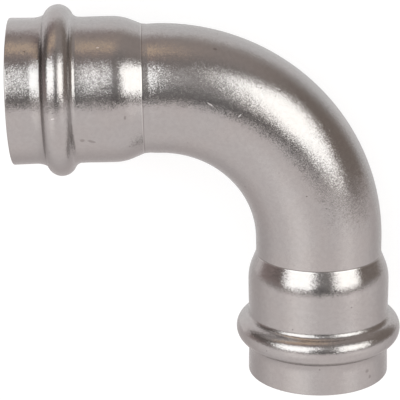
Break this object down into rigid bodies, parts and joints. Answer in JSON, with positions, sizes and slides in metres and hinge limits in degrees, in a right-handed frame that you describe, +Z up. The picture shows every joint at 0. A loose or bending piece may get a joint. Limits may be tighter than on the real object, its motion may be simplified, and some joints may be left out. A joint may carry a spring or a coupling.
{
  "type": "press fit pipe elbow",
  "caption": "Right-angle press elbow of formed stainless tube, with a beaded socket and a sealing ring on each end, for joining pipes.",
  "frame": {"origin": "on the ground that the elbow lies on, under the middle of its box", "axes": "+Z up from the ground; the mouth of socket A faces -X and that of socket B faces -Y, each tipped up by 7 degrees"},
  "size_m": [0.0868, 0.0868, 0.0368],
  "materials": {
    "stainless_steel": "satin, pickled stainless steel with a fine even grain",
    "seal_rubber": "black moulded sealing rubber"
  },
  "bodies": {
    "root": {"elbow_body": "stainless_steel", "seal_ring_a": "seal_rubber", "seal_ring_b": "seal_rubber"}
  },
  "joints": []
}
